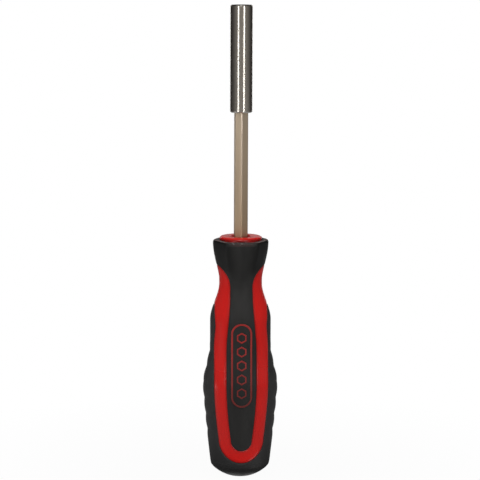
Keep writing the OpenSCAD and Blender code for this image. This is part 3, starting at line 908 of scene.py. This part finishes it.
# The red lines are darker towards the bottom of the badge.
darker_low = fade(node, badge_fade, badge_low, 0.0, 0.75)
feed("Base Color", blend(node, darker_low, plain, (0.055, 0.012, 0.010, 1)))
feed("Roughness", span(node, flow, 0.40, 0.5))
feed("Specular IOR Level", 0.25)
lines.data.materials.clear()
lines.data.materials.append(badge_red)
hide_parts("front_badge")
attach(lines, "driver")

# Studio: white floor and world, two tall strip lamps beside the camera, a top light and a key light.
# A dark tent with a grey ground and a few glowing cards show only in the gloss of the pieces, where they
# make the bright and dark stripes; the camera doesn't see them, and they cast no shadow.
stage_turn = math.radians(-2.8)
ambient_left, ambient_right = 0.80, 0.66
floor_size, floor_grey = 8, (0.35, 0.35, 0.35, 1)
shade_near, shade_far, shade_share = 0.04, 0.18, 0.96
tent_r, tent_h, tent_lift, tent_hole = 1.25, 1.6, 0.001, 0.010
ground_left, ground_right = 1.05, 0.85
white = (1, 1, 1, 1)
card_white = (1.0, 0.97, 0.94, 1)


def stage_point(turn_deg, distance, height):
    turn = stage_turn + math.radians(turn_deg)
    return Vector((math.sin(turn) * distance, -math.cos(turn) * distance, height))


def area_lamp(name, turn_deg, distance, height, width, tall, power, aim_height=None):
    """Area lamp at an angle from the camera's side, turned to the tool's axis."""
    data = bpy.data.lights.new(name, "AREA")
    data.shape, data.size, data.size_y, data.energy = "RECTANGLE", width, tall, power
    lamp = bpy.data.objects.new(name, data)
    bpy.context.scene.collection.objects.link(lamp)
    lamp.location = stage_point(turn_deg, distance, height)
    aim = Vector((0, 0, height if aim_height is None else aim_height)) - lamp.location
    lamp.rotation_euler = aim.to_track_quat("-Z", "Y").to_euler()
    lamp.visible_camera = False


def seen_rays(node):
    """1 for the rays of the camera, of gloss and of glass, and 0 for the rays that light the scene."""
    path = node("ShaderNodeLightPath").outputs
    direct = node("ShaderNodeMath", path["Is Camera Ray"], path["Is Glossy Ray"], operation="MAXIMUM")
    return node("ShaderNodeMath", direct.outputs[0], path["Is Transmission Ray"],
                operation="MAXIMUM").outputs[0]


def stage_finish(name):
    """Empty node material and a maker of its nodes."""
    finish = bpy.data.materials.new(name)
    finish.use_nodes = True
    finish.node_tree.nodes.clear()
    return finish, node_maker(finish.node_tree)


area_lamp("left_strip", -31, 0.8, 0.25, 0.075, 1.1, 1.8)
area_lamp("right_strip", 28, 0.8, 0.25, 0.06, 1.1, 2.1)
area_lamp("top_light", 0, 0.45, 1.15, 0.5, 0.4, 1.6, 0.11)
area_lamp("key_light", -4, 0.95, 0.85, 0.35, 0.3, 3.0, 0.08)

world = bpy.data.worlds.new("studio")
bpy.context.scene.world = world
world.use_nodes = True
world.node_tree.nodes.clear()
node = node_maker(world.node_tree)
way = node("ShaderNodeSeparateXYZ", node("ShaderNodeTexCoord").outputs["Generated"])
side_level = span(node, way.outputs["X"], ambient_left, ambient_right, -1.0, 1.0)
ambient = node("ShaderNodeBackground", Color=white, Strength=side_level)
backdrop = node("ShaderNodeBackground", Color=white, Strength=1.0)
either = node("ShaderNodeMixShader", seen_rays(node), ambient.outputs[0], backdrop.outputs[0])
node("ShaderNodeOutputWorld", Surface=either.outputs[0])

# Near the tool a small share of the floor stays matt, so that the tool's shadow shows.
clear_selection()
bpy.ops.mesh.primitive_plane_add(size=floor_size)
floor = bpy.context.object
floor.name = "floor"
pale, node = stage_finish("pale_floor")
far = node("ShaderNodeVectorMath", node("ShaderNodeTexCoord").outputs["Object"], operation="LENGTH")
unshaded = span(node, far.outputs["Value"], shade_share, 1.0, shade_near, shade_far)
share = node("ShaderNodeMath", seen_rays(node), unshaded, operation="MULTIPLY")
matt = node("ShaderNodeBsdfDiffuse", Color=floor_grey)
glow = node("ShaderNodeEmission", Color=white, Strength=1.0)
either = node("ShaderNodeMixShader", share.outputs[0], matt.outputs[0], glow.outputs[0])
node("ShaderNodeOutputMaterial", Surface=either.outputs[0])
floor.data.materials.append(pale)

clear_selection()
bpy.ops.mesh.primitive_cylinder_add(vertices=96, radius=tent_r, depth=tent_h,
                                    location=(0, 0, tent_h / 2 + tent_lift))
tent = bpy.context.object
tent.name = "dark_tent"
apply_place()
bpy.ops.object.mode_set(mode="EDIT")
mesh = bmesh.from_edit_mesh(tent.data)
ground = [f for f in mesh.faces if f.normal.z < -0.5]
bmesh.ops.inset_region(mesh, faces=ground, thickness=tent_r - tent_hole)
bmesh.ops.delete(mesh, geom=ground, context="FACES")
bmesh.update_edit_mesh(tent.data)
bpy.ops.object.mode_set(mode="OBJECT")
cloth, node = stage_finish("tent_cloth")
place = node("ShaderNodeSeparateXYZ", node("ShaderNodeTexCoord").outputs["Object"])
to_back = span(node, place.outputs["Y"], 0.0, 1.0, -tent_r, tent_r)
cloth_grey = ramp(node, to_back, (
    (0.0, (0.36, 0.34, 0.315)), (0.25, (0.25, 0.24, 0.2275)), (0.5, (0.10, 0.096, 0.091)),
    (0.75, (0.04, 0.0384, 0.0364)), (1.0, (0.05, 0.048, 0.046))))
glow = node("ShaderNodeEmission", Color=cloth_grey)
node("ShaderNodeOutputMaterial", Surface=glow.outputs[0])
tent.data.materials.append(cloth)
rug, node = stage_finish("tent_ground")
spot = node("ShaderNodeTexCoord").outputs["Object"]
far = node("ShaderNodeVectorMath", spot, operation="LENGTH").outputs["Value"]
rings = ((0.0, 0.20), (0.045, 0.20), (0.06, 0.6), (0.15, 0.6), (0.2, 0.38), (0.33, 0.38), (0.5, 0.2),
         (0.75, 0.2), (0.9, 0.40))
rug_grey = ramp(node, far, [(r, (grey, grey, grey)) for r, grey in rings] + [(1.0, (0.40, 0.39, 0.37))])
lean = node("ShaderNodeMath", node("ShaderNodeSeparateXYZ", spot).outputs["X"], far, operation="DIVIDE")
side_level = span(node, lean.outputs[0], ground_left, ground_right, -1.0, 1.0)
glow = node("ShaderNodeEmission", Color=rug_grey, Strength=side_level)
node("ShaderNodeOutputMaterial", Surface=glow.outputs[0])
tent.data.materials.append(rug)
for face in tent.data.polygons:
    face.material_index = int(face.center.z < 0.1 and abs(face.normal.z) > 0.5)


def mirror_card(name, centre, rotation, width, length, strength):
    """Glowing card that only shows in the gloss of the pieces."""
    clear_selection()
    bpy.ops.mesh.primitive_plane_add(size=1, location=centre, rotation=rotation)
    card = bpy.context.object
    card.name = name
    card.scale = (width, length, 1)
    apply_place()
    paint, node = stage_finish(name)
    glow = node("ShaderNodeEmission", Color=card_white, Strength=strength)
    node("ShaderNodeOutputMaterial", Surface=glow.outputs[0])
    card.data.materials.append(paint)
    return card


def upright_card(name, turn_deg, distance, low, high, width, strength):
    """Mirror card that stands at an angle from the camera's side and faces the tool."""
    return mirror_card(name, stage_point(turn_deg, distance, (low + high) / 2),
                       (quarter, 0, stage_turn + math.radians(turn_deg)), width, high - low, strength)


cards = [
    upright_card("back_card", 180, 1.2, 0.24, 0.64, 0.9, 0.52),
    upright_card("high_back_card", 180, 0.9, 0.70, 1.05, 0.6, 1.1),
    upright_card("side_card", 68, 0.5, 0.005, 0.115, 0.5, 0.62),
    upright_card("rear_left_card", -157, 0.5, 0.002, 0.45, 0.035, 3.0),
    upright_card("rear_right_card", 157, 0.5, 0.002, 0.45, 0.035, 3.0),
    mirror_card("left_floor_card", stage_point(-74, 0.31, 0.0015), (0, 0, stage_turn + math.radians(-74)),
                0.07, 0.22, 5.0),
    mirror_card("right_floor_card", (0.0205, -0.019, 0.0015), (0, 0, 0), 0.021, 0.008, 3.0)]
for mirrored in [tent] + cards:
    mirrored.visible_camera = False
    mirrored.visible_diffuse = False
    mirrored.visible_shadow = False
    mirrored.visible_transmission = False

# Camera: long lens aimed at the bell, looking a little down on the standing tool.
# The slight roll and sideways aim are the photograph's own.
camera_data = bpy.data.cameras.new("camera")
camera = bpy.data.objects.new("camera", camera_data)
bpy.context.scene.collection.objects.link(camera)
camera_data.lens, camera_data.sensor_width = 150, 36
camera_data.clip_start, camera_data.clip_end = 0.05, 20
elevation, roll, distance = math.radians(8.0), math.radians(0.215), 0.951
target = Vector((-0.00034, 0, 0.1138))
back_way = Vector((math.sin(stage_turn) * math.cos(elevation), -math.cos(stage_turn) * math.cos(elevation),
                   math.sin(elevation)))
camera.location = target + back_way * distance
camera.rotation_mode = "QUATERNION"
rolled_view = Matrix.Rotation(roll, 3, "Z").to_quaternion()
camera.rotation_quaternion = (-back_way).to_track_quat("-Z", "Y") @ rolled_view
bpy.context.scene.camera = camera
bpy.context.scene.view_settings.view_transform = "Standard"
